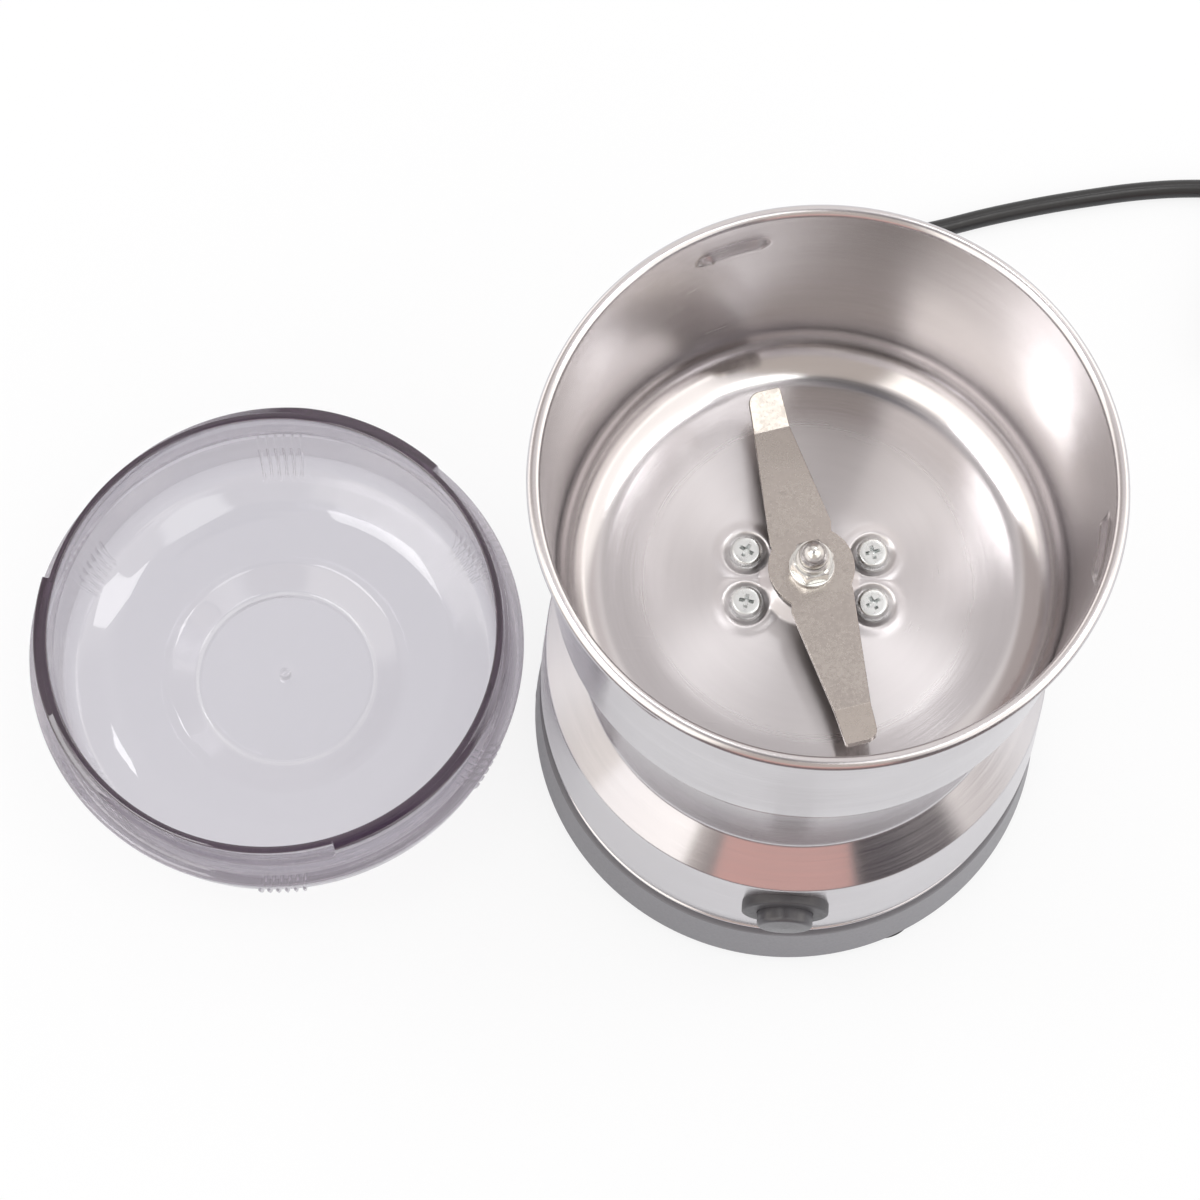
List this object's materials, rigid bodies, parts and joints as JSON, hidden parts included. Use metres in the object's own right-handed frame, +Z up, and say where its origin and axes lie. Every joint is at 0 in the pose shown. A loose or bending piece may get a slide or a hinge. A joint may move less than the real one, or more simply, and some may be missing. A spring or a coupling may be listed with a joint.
{
  "type": "electric spice grinder",
  "caption": "Small electric spice grinder: spun steel bowl with a two-armed blade on a steel motor body, push button, mains cord with plug, and a smoky twist-on lid lying beside it.",
  "frame": {"origin": "on the table under the middle of the grinder's base", "axes": "+Z up along the motor shaft, the push button faces -Y, the cord leaves towards +Y, the lid lies towards -X"},
  "size_m": [0.3072, 0.1815, 0.142],
  "materials": {
    "spun_steel": "brushed",
    "base_plastic": "matte",
    "button_plastic": "satin",
    "switch_plastic": "matte",
    "foot_rubber": "matte",
    "zinc_steel": "polished",
    "blade_steel": "satin",
    "cast_metal": "satin",
    "core_iron": "satin",
    "copper_wire": "gloss",
    "brass_metal": "satin",
    "carbon": "matte",
    "fan_plastic": "matte",
    "wire_plastic": "satin",
    "cord_rubber": "satin",
    "plug_plastic": "satin",
    "smoky_plastic": "gloss"
  },
  "bodies": {
    "root": {"grinding_bowl": "spun_steel", "body_shell": "spun_steel", "base_ring": "base_plastic", "bottom_cover": "base_plastic", "cord_clamp": "base_plastic", "switch_bezel": "button_plastic", "switch_body": "switch_plastic", "rubber_feet": "foot_rubber", "cord_gland": "foot_rubber", "shaft_seal": "foot_rubber", "cord_tie": "foot_rubber", "cover_screws": "zinc_steel", "ring_screws": "zinc_steel", "bowl_screws": "zinc_steel", "switch_nut": "zinc_steel", "clamp_screws": "zinc_steel", "through_bolts": "zinc_steel", "motor_bracket": "cast_metal", "motor_end_bracket": "cast_metal", "stator_core": "core_iron", "field_coils": "copper_wire", "upper_bearing": "brass_metal", "lower_bearing": "brass_metal", "brush_holders": "brass_metal", "plug_pins": "brass_metal", "carbon_brushes": "carbon", "lead_wires": "wire_plastic", "cord_tube": "cord_rubber", "cord_coil": "cord_rubber", "cord_lead": "cord_rubber", "plug_body": "plug_plastic"},
    "rotor": {"motor_shaft": "blade_steel", "armature_core": "core_iron", "armature_windings": "copper_wire", "commutator": "copper_wire", "cooling_fan": "fan_plastic", "blade_bush": "blade_steel", "blade": "blade_steel", "blade_washer": "zinc_steel", "acorn_nut": "zinc_steel"},
    "button": {"button_cap": "button_plastic"},
    "lid": {"lid": "smoky_plastic"}
  },
  "joints": [
    {"name": "blade_spin", "type": "hinge", "parent": "root", "child": "rotor", "pos_m": [0, 0, 0.095], "axis": [0, 0, 1], "continuous": true},
    {"name": "button_press", "type": "slide", "parent": "root", "child": "button", "axis": [0, 1, 0], "range_m": [0, 0.0022], "stiffness_N_per_m": 600, "springref_m": -0.003},
    {"name": "lid_lift", "type": "slide", "parent": "root", "child": "lid", "axis": [0, 0, 1], "range_m": [0, 0.06]}
  ]
}
